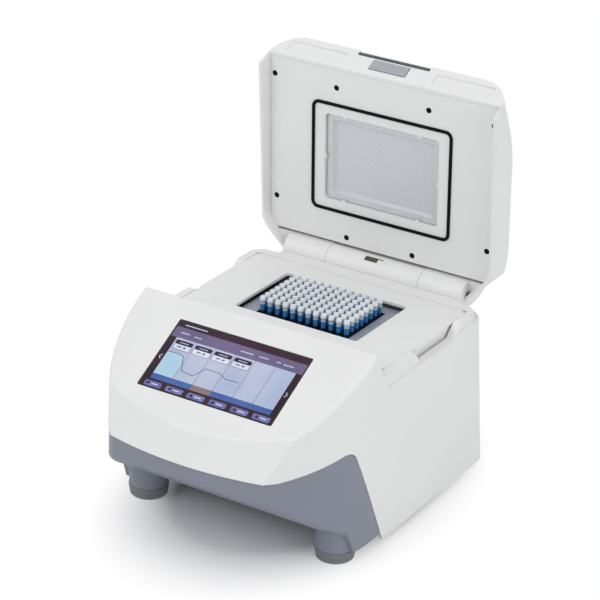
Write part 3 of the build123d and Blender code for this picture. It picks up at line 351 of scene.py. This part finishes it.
# Black plastic: the display's frame behind the glass, and at the rear the fan,
# the inlet with its fuse drawer and the rocker switch, all moulded in black.
black_abs = moulded_plastic("black_abs", (0.016, 0.016, 0.018, 1), 0.45, 0.7, 0.3, 0.1)
finish_nodes(black_abs, "display_module", "fan_frame", "fan_rotor")
finish_nodes(black_abs, "power_inlet", "fuse_drawer", "switch_housing", "power_rocker")

# The circuit boards: green coated glass fibre, held off the housing by turned
# brass posts.
board_green = moulded_plastic("board_green", (0.020, 0.120, 0.055, 1), 0.35, 2.5, 0.4, 0.25)
finish_nodes(board_green, "control_board", "main_board")
brass = tumbled_metal("post_brass", (0.55, 0.38, 0.14, 1), (0.72, 0.52, 0.22, 1), 0.3, 1200)
finish_nodes(brass, "board_posts", "board_feet")

# The block frame: a surround of grey anodised aluminium, bead-blasted before
# it was anodised, screwed down round the sample block.
blast_relief = 0.00005


def blasted_metal(name, low, high, roughness, speck_mm, metallic=0.85, relief=0.3):
    """Bead-blasted or anodised aluminium with a fine sparkle."""
    metal = bpy.data.materials.new(name)
    metal.use_nodes = True
    tree = metal.node_tree
    shader = tree.nodes["Principled BSDF"]
    shader.inputs["Metallic"].default_value = metallic
    shader.inputs["Roughness"].default_value = roughness
    specks = speckle(tree, 1000 / speck_mm, 2)
    tree.links.new(two_tones(tree, specks, low, high, 0.35, 0.65), shader.inputs["Base Color"])
    raise_surface(tree, specks, relief, blast_relief)
    return metal


grey_low, grey_high = (0.33, 0.36, 0.41, 1), (0.42, 0.45, 0.50, 1)
frame_anodised = blasted_metal("frame_anodised", grey_low, grey_high, 0.42, 0.6, 0.35)
finish_nodes(frame_anodised, "block_frame")

# Seals and plugs: the gasket round the block, the lid's seal cord and the
# rubber plugs over its screws, in dull black rubber.
seal_black = moulded_plastic("seal_black", (0.003, 0.003, 0.004, 1), 0.7, 1.2, 0.3, 0.1)
seal_black.node_tree.nodes["Principled BSDF"].inputs["Specular IOR Level"].default_value = 0.12
finish_nodes(seal_black, "block_gasket", "lid_seal", "screw_plugs")

# The frame's face: a milled plate that laps over the sample block's edge as far
# as the outer wells, with two fine grooves round it.
opening_across, opening_along = 0.0545, 0.0365
face_proud = 0.0003
face_edge = 0.0004
groove_deep = 0.0006
groove_steps = [0.0030, 0.0034, 0.0075, 0.0079]


def rectangle_loops(name, centre, loops, material):
    """A ring made of rectangles, each a half width, a half length and a height."""
    corners = []
    for half_across, half_along, height in loops:
        for side_x, side_y in ((-1, -1), (1, -1), (1, 1), (-1, 1)):
            corners.append((centre.x + side_x * half_across, centre.y + side_y * half_along, height))
    faces = []
    for loop in range(len(loops)):
        near, far = loop * 4, (loop + 1) % len(loops) * 4
        for index in range(4):
            after = (index + 1) % 4
            faces.append((near + index, near + after, far + after, far + index))
    mesh = bpy.data.meshes.new(name)
    mesh.from_pydata(corners, [], faces)
    mesh.materials.append(material)
    shape = bmesh.new()
    shape.from_mesh(mesh)
    bmesh.ops.recalc_face_normals(shape, faces=shape.faces)
    shape.to_mesh(mesh)
    shape.free()
    ring = bpy.data.objects.new(name, mesh)
    bpy.context.collection.objects.link(ring)
    return ring


frame_low, frame_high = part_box("block_frame")
frame_middle = (frame_low + frame_high) / 2
frame_half = (frame_high - frame_low) / 2
face_level = frame_high.z + face_proud
floor_level = face_level - groove_deep
edge_level = face_level - face_edge
loops = [(opening_across, opening_along, edge_level), (opening_across, opening_along, face_level)]
for index, step in enumerate(groove_steps):
    levels = (floor_level, face_level) if index % 2 else (face_level, floor_level)
    loops += [(opening_across + step, opening_along + step, level) for level in levels]
loops.append((frame_half.x, frame_half.y, face_level))
loops.append((frame_half.x, frame_half.y, edge_level))
frame_face = rectangle_loops("block_frame_face", frame_middle, loops, frame_anodised)
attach(frame_face, "module")

# The sample block: dark anodised aluminium, drilled with a grid of tapered
# wells.
dark_low, dark_high = (0.010, 0.010, 0.012, 1), (0.022, 0.021, 0.022, 1)
block_dark = blasted_metal("block_dark", dark_low, dark_high, 0.5, 0.5)
finish_nodes(block_dark, "sample_block")

# Bare aluminium and ceramic: the finned heat sink, the rear panel, the power
# supply's case, the module's rails and the latch case, and the coolers' plates.
silver_low, silver_high = (0.50, 0.51, 0.53, 1), (0.62, 0.63, 0.65, 1)
silver = blasted_metal("silver_aluminium", silver_low, silver_high, 0.4, 0.5)
finish_nodes(silver, "heat_sink", "rear_panel", "power_supply", "module_rails", "latch_case")
ceramic = moulded_plastic("cooler_ceramic", (0.68, 0.67, 0.64, 1), 0.5, 1.0, 0.3, 0.05)
finish_nodes(ceramic, "peltier_coolers")

# The tubes: thin polypropylene moulded in strips of eight along each column,
# frosted above a blue liquid. They hang in the wells by their tapered bodies,
# whose cones are painted near-black blue as painted shade down in the wells.
millimetre = 0.001
well_pitch = 0.009
column_places, row_places = 12, 8
tube_around = 14
frosted_part, liquid_part, cone_shade_part = 0, 1, 2
tube_profile = [
    (3.05, 0.0, frosted_part),
    (3.25, -0.25, frosted_part),
    (3.25, -1.05, frosted_part),
    (2.80, -1.35, frosted_part),
    (2.75, -4.60, frosted_part),
    (2.72, -10.9, liquid_part),
    (2.70, -14.4, cone_shade_part),
    (1.45, -23.6, cone_shade_part),
    (0.80, -24.4, cone_shade_part),
]


def smooth_plastic(name, colour, roughness, speck_mm):
    """Smooth plastic or liquid with faint flow marks under a clear coat."""
    plastic = moulded_plastic(name, colour, roughness, speck_mm, 0.12, 0.05)
    shader = plastic.node_tree.nodes["Principled BSDF"]
    shader.inputs["Coat Weight"].default_value = 0.4
    shader.inputs["Coat Roughness"].default_value = 0.12
    return plastic


def turned_row(name, profile, places, around, materials):
    """Turned pieces at each place; a row is radius, height and material, in mm."""
    shape = bmesh.new()
    for across, along, level in places:
        rings = []
        for radius, height, _ in profile:
            ring = []
            for index in range(around):
                turn = 2 * math.pi * index / around
                x = across + radius * millimetre * math.cos(turn)
                y = along + radius * millimetre * math.sin(turn)
                ring.append(shape.verts.new((x, y, level + height * millimetre)))
            rings.append(ring)
        for upper, lower, (_, _, material) in zip(rings, rings[1:], profile[1:]):
            for index in range(around):
                after = (index + 1) % around
                side = shape.faces.new((upper[index], lower[index], lower[after], upper[after]))
                side.material_index = material
                side.smooth = True
        shape.faces.new(rings[0]).material_index = profile[0][2]
        shape.faces.new(list(reversed(rings[-1]))).material_index = profile[-1][2]
    mesh = bpy.data.meshes.new(name)
    shape.to_mesh(mesh)
    shape.free()
    for material in materials:
        mesh.materials.append(material)
    row = bpy.data.objects.new(name, mesh)
    bpy.context.collection.objects.link(row)
    return row


strip_low, strip_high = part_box("tube_strips")
grid_middle = (strip_low + strip_high) / 2
rim_level = strip_high.z
tube_places = []
for column in range(column_places):
    across = grid_middle.x + (column - (column_places - 1) / 2) * well_pitch
    for row in range(row_places):
        along = grid_middle.y + (row - (row_places - 1) / 2) * well_pitch
        tube_places.append((across, along, rim_level))
frosted = smooth_plastic("tube_frosted", (0.60, 0.67, 0.73, 1), 0.3, 1.0)
blue_liquid = smooth_plastic("tube_blue_liquid", (0.016, 0.170, 0.450, 1), 0.16, 1.6)
# The cones' colour is painted shade: near-black blue where the tubes sit deep in the wells.
cone_painted_shade = smooth_plastic("tube_cone_painted_shade", (0.010, 0.030, 0.070, 1), 0.2, 1.6)
tube_materials = (frosted, blue_liquid, cone_painted_shade)
tubes = turned_row("strip_tubes", tube_profile, tube_places, tube_around, tube_materials)
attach(tubes, "tubes")
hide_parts("tube_strips")

# The strip caps: eight flat caps in a row, each pressed into a tube's mouth,
# moulded in milky polypropylene with a shallow dish in its top.
cap_low, cap_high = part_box("tube_caps")
cap_tall = (cap_high.z - rim_level) / millimetre
cap_profile = [
    (1.80, cap_tall - 0.60, 0),
    (2.15, cap_tall - 0.10, 0),
    (2.55, cap_tall - 0.01, 0),
    (2.85, cap_tall - 0.20, 0),
    (2.92, 0.95, 0),
    (3.20, 0.75, 0),
    (3.20, 0.15, 0),
    (2.20, 0.12, 0),
]
cap_milk = smooth_plastic("cap_milky", (0.70, 0.75, 0.79, 1), 0.32, 0.8)
caps = turned_row("strip_caps", cap_profile, tube_places, tube_around, (cap_milk,))
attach(caps, "tubes")
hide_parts("tube_caps")

# The heated plate: bead-blasted aluminium floating in the lid's window, with an
# orange silicone heater mat and foam behind it, and the window's white surround.
plate_low, plate_high = (0.60, 0.61, 0.64, 1), (0.72, 0.73, 0.76, 1)
plate_silver = blasted_metal("plate_silver", plate_low, plate_high, 0.5, 0.7, 0.5, 0.1)
finish_nodes(plate_silver, "heated_plate")
mat_orange = moulded_plastic("mat_silicone", (0.45, 0.14, 0.05, 1), 0.6, 1.0, 0.4, 0.05)
finish_nodes(mat_orange, "heater_mat")
foam = moulded_plastic("lid_foam", (0.62, 0.58, 0.50, 1), 0.9, 2.0, 0.9, 0.1)
finish_nodes(foam, "lid_insulation")
finish_nodes(white_abs, "window_frame")

# The window surround's six small tabs, moulded on its inner edge to keep the
# heated plate in: two above, two below and one at each side.
surround_margin = 0.002
tab_half = 0.0026
tab_reach = 0.0024
tab_face = 0.0005
tab_back = 0.0016
tab_across = 0.044
tab_edge = 0.0003


def edged_block(name, corner_spots, edge, material, body):
    """A small block with rounded edges, from its eight corners."""
    shape = bmesh.new()
    points = [shape.verts.new(spot) for spot in corner_spots]
    for corners in ((0, 1, 3, 2), (4, 6, 7, 5), (0, 4, 5, 1), (2, 3, 7, 6), (0, 2, 6, 4), (1, 5, 7, 3)):
        shape.faces.new([points[index] for index in corners])
    bmesh.ops.recalc_face_normals(shape, faces=shape.faces)
    bmesh.ops.bevel(shape, geom=shape.edges[:], offset=edge, segments=2, affect="EDGES")
    mesh = bpy.data.meshes.new(name)
    shape.to_mesh(mesh)
    shape.free()
    mesh.materials.append(material)
    block = bpy.data.objects.new(name, mesh)
    bpy.context.collection.objects.link(block)
    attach(block, body)


cover_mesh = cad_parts["lid_inner_cover"].data
lid_out = max(cover_mesh.polygons, key=lambda face: face.area).normal.copy()
if lid_out.y > 0:
    lid_out.negate()
lid_along = Vector((1, 0, 0)).cross(lid_out)
if lid_along.z < 0:
    lid_along.negate()
lid_face_out = max(vertex.co.dot(lid_out) for vertex in cover_mesh.vertices)
surround_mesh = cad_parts["window_frame"].data
surround_alongs = [vertex.co.dot(lid_along) for vertex in surround_mesh.vertices]
window_low = min(surround_alongs) + surround_margin
window_high = max(surround_alongs) - surround_margin
window_side = max(vertex.co.x for vertex in surround_mesh.vertices) - surround_margin


def window_tab(name, acrosses, alongs):
    """A tab inside the lid's window, just under the lid's inner face."""
    spots = [
        Vector((across, 0, 0)) + lid_along * along + lid_out * (lid_face_out - depth)
        for across in acrosses
        for along in alongs
        for depth in (tab_back, tab_face)
    ]
    edged_block(name, spots, tab_edge, white_abs, "lid")


for index, across in enumerate((-tab_across, tab_across)):
    acrosses = (across - tab_half, across + tab_half)
    window_tab("window_tab_low_%d" % index, acrosses, (window_low, window_low + tab_reach))
    window_tab("window_tab_high_%d" % index, acrosses, (window_high - tab_reach, window_high))
tab_middle = (window_low + window_high) / 2
tab_alongs = (tab_middle - tab_half, tab_middle + tab_half)
window_tab("window_tab_left", (-window_side, -window_side + tab_reach), tab_alongs)
window_tab("window_tab_right", (window_side - tab_reach, window_side), tab_alongs)

# The hinge barrel's window: a slot near the middle of the fixed barrel, drawn as
# a thin patch in dark brown that is painted shade for its inside, with the
# rounded white end of the lid stop at its right.
barrel_radius = 0.0152
patch_steps = 8
pin_low, pin_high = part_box("hinge_pins")
axis_middle = (pin_low + pin_high) / 2


def barrel_patch(name, left, right, low_turn, high_turn, lift, material):
    """A patch wrapped on the barrel between two turns above its front."""
    mesh = bpy.data.meshes.new(name)
    points, faces = [], []
    for index in range(patch_steps + 1):
        turn = math.radians(low_turn + (high_turn - low_turn) * index / patch_steps)
        along = axis_middle.y - (barrel_radius + lift) * math.cos(turn)
        level = axis_middle.z + (barrel_radius + lift) * math.sin(turn)
        points += [(left, along, level), (right, along, level)]
        if index:
            first = 2 * index - 2
            faces.append((first, first + 1, first + 3, first + 2))
    mesh.from_pydata(points, [], faces)
    mesh.materials.append(material)
    patch = bpy.data.objects.new(name, mesh)
    bpy.context.collection.objects.link(patch)
    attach(patch, "base")


# The slot's patch is painted shade: dark brown where the slot's inside lies in shade.
slot_painted_shade = moulded_plastic("barrel_slot_painted_shade", (0.070, 0.052, 0.040, 1), 0.6, 0.8, 0.3, 0.1)
barrel_patch("barrel_slot", -0.0115, 0.0095, 50, 72, 0.00008, slot_painted_shade)
stop_white = moulded_plastic("lid_stop_white", white_colour, 0.35, 0.5, 0.2, 0.02)
barrel_patch("lid_stop", 0.0040, 0.0120, 44, 66, 0.0004, stop_white)

# The lid's grip: a dark slate bar let into the notch at the lid's front edge,
# above the latch. It is placed from the latch button's face.
grip_half = 0.0414
grip_low, grip_high = 0.0088, 0.0122
grip_proud, grip_sunk = 0.0006, 0.0021
grip_edge = 0.0004
button_proud = 0.0009
button_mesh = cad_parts["latch_button"].data
button_out = max(button_mesh.polygons, key=lambda face: face.area).normal.copy()
if button_out.z < 0:
    button_out.negate()
button_up = button_out.cross(Vector((1, 0, 0)))
if button_up.y < 0:
    button_up.negate()
button_ups = [vertex.co.dot(button_up) for vertex in button_mesh.vertices]
button_middle = (max(button_ups) + min(button_ups)) / 2
face_out = max(vertex.co.dot(button_out) for vertex in button_mesh.vertices) - button_proud
grip_slate = moulded_plastic("grip_slate", (0.075, 0.088, 0.112, 1), 0.4, 0.5, 0.3, 0.05)
grip_spots = [
    Vector((across, 0, 0)) + button_up * (button_middle + up) + button_out * (face_out + out)
    for across in (-grip_half, grip_half)
    for up in (grip_low, grip_high)
    for out in (-grip_sunk, grip_proud)
]
edged_block("lid_grip_bar", grip_spots, grip_edge, grip_slate, "lid")

# The latch button: light blue-grey plastic, sprung, in a slot of the lid's
# front face.
latch_grey = moulded_plastic("latch_grey", (0.365, 0.390, 0.425, 1), 0.4, 0.5, 0.25, 0.03)
finish_nodes(latch_grey, "latch_button")

# The camera stands to the right of the instrument and above it, with a long
# lens, turned a little about its own axis. It aims at the top of the tube caps.
look_azimuth = math.radians(31.1255)
look_height = math.radians(24.5619)
camera_roll = math.radians(2.0563)
camera_distance = 2.627838
picture_pixels = 600
focal_pixels = 2615.115
aim_across_pixels = 21.384
aim_up_pixels = 2.436
aim = (cap_low + cap_high) / 2
aim.z = cap_high.z
back = Vector((
    math.sin(look_azimuth) * math.cos(look_height),
    -math.cos(look_azimuth) * math.cos(look_height),
    math.sin(look_height),
))
level_right = Vector((math.cos(look_azimuth), math.sin(look_azimuth), 0))
level_up = back.cross(level_right)
camera_right = level_right * math.cos(camera_roll) + level_up * math.sin(camera_roll)
camera_up = level_up * math.cos(camera_roll) - level_right * math.sin(camera_roll)
camera_data = bpy.data.cameras.new("camera")
camera_data.sensor_width = 36
camera_data.lens = focal_pixels * camera_data.sensor_width / picture_pixels
camera_data.shift_x = -aim_across_pixels / picture_pixels
camera_data.shift_y = -aim_up_pixels / picture_pixels
camera_data.clip_end = 20
camera = bpy.data.objects.new("camera", camera_data)
bpy.context.collection.objects.link(camera)
axes = Matrix((camera_right, camera_up, back)).transposed().to_4x4()
camera.matrix_world = Matrix.Translation(aim + back * camera_distance) @ axes
bpy.context.scene.camera = camera

# The floor: pale paper that takes the instrument's shadow and fades to white
# a short way out from under it.
floor_reach = 6.0
mesh = bpy.data.meshes.new("floor")
floor_corners = [(-floor_reach, -floor_reach, 0), (floor_reach, -floor_reach, 0)]
floor_corners += [(floor_reach, floor_reach, 0), (-floor_reach, floor_reach, 0)]
mesh.from_pydata(floor_corners, [], [(0, 1, 2, 3)])
floor = bpy.data.objects.new("floor", mesh)
bpy.context.collection.objects.link(floor)
paper = bpy.data.materials.new("floor_paper")
paper.use_nodes = True
nodes, links = paper.node_tree.nodes, paper.node_tree.links
shader = nodes["Principled BSDF"]
shader.inputs["Base Color"].default_value = (0.88, 0.88, 0.89, 1)
shader.inputs["Roughness"].default_value = 0.7
place = nodes.new("ShaderNodeTexCoord")
footprint = nodes.new("ShaderNodeMapping")
footprint.inputs["Scale"].default_value = (6.9, 4.6, 1)
links.new(place.outputs["Object"], footprint.inputs["Vector"])
spread = nodes.new("ShaderNodeVectorMath")
spread.operation = "LENGTH"
links.new(footprint.outputs["Vector"], spread.inputs[0])
fade = nodes.new("ShaderNodeMapRange")
fade.inputs["From Min"].default_value = 0.72
fade.inputs["From Max"].default_value = 1.22
links.new(spread.outputs["Value"], fade.inputs["Value"])
rays = nodes.new("ShaderNodeLightPath")
seen = nodes.new("ShaderNodeMath")
seen.operation = "MULTIPLY"
links.new(rays.outputs["Is Camera Ray"], seen.inputs[0])
links.new(fade.outputs["Result"], seen.inputs[1])
white = nodes.new("ShaderNodeEmission")
white.inputs["Strength"].default_value = 1
mix = nodes.new("ShaderNodeMixShader")
links.new(seen.outputs["Value"], mix.inputs["Fac"])
links.new(shader.outputs["BSDF"], mix.inputs[1])
links.new(white.outputs["Emission"], mix.inputs[2])
links.new(mix.outputs["Shader"], nodes["Material Output"].inputs["Surface"])
mesh.materials.append(paper)

# The studio: an even pale room that lights the instrument, with a white
# backdrop where the camera, a reflection or a clear piece looks past it.
world = bpy.data.worlds.new("studio")
bpy.context.scene.world = world
world.use_nodes = True
nodes, links = world.node_tree.nodes, world.node_tree.links
room = nodes["Background"]
room.inputs["Color"].default_value = (0.97, 0.98, 1.0, 1)
room.inputs["Strength"].default_value = 0.66
backdrop = nodes.new("ShaderNodeBackground")
backdrop.inputs["Strength"].default_value = 1
rays = nodes.new("ShaderNodeLightPath")
either = nodes.new("ShaderNodeMath")
either.operation = "MAXIMUM"
links.new(rays.outputs["Is Camera Ray"], either.inputs[0])
links.new(rays.outputs["Is Glossy Ray"], either.inputs[1])
through = nodes.new("ShaderNodeMath")
through.operation = "MAXIMUM"
links.new(either.outputs["Value"], through.inputs[0])
links.new(rays.outputs["Is Transmission Ray"], through.inputs[1])
mix = nodes.new("ShaderNodeMixShader")
links.new(through.outputs["Value"], mix.inputs["Fac"])
links.new(room.outputs["Background"], mix.inputs[1])
links.new(backdrop.outputs["Background"], mix.inputs[2])
links.new(mix.outputs["Shader"], nodes["World Output"].inputs["Surface"])

# The lamps: three large soft squares, at the front left, above and at the
# right, all turned to the instrument's middle.
lamp_size = 1.8
middle = (cad_low + cad_high) / 2


def soft_lamp(name, place, power):
    """A large square lamp at a place, turned to the instrument."""
    lamp = bpy.data.lights.new(name, "AREA")
    lamp.size = lamp_size
    lamp.energy = power
    holder = bpy.data.objects.new(name, lamp)
    bpy.context.collection.objects.link(holder)
    holder.location = place
    holder.rotation_mode = "QUATERNION"
    holder.rotation_quaternion = (middle - Vector(place)).to_track_quat("-Z", "Y")


soft_lamp("key_lamp", (-1.2, -2.2, 2.2), 24)
soft_lamp("top_lamp", (0.4, 0.2, 2.8), 10)
soft_lamp("side_lamp", (2.8, -0.6, 1.3), 17)

bpy.context.scene.view_settings.view_transform = "Standard"
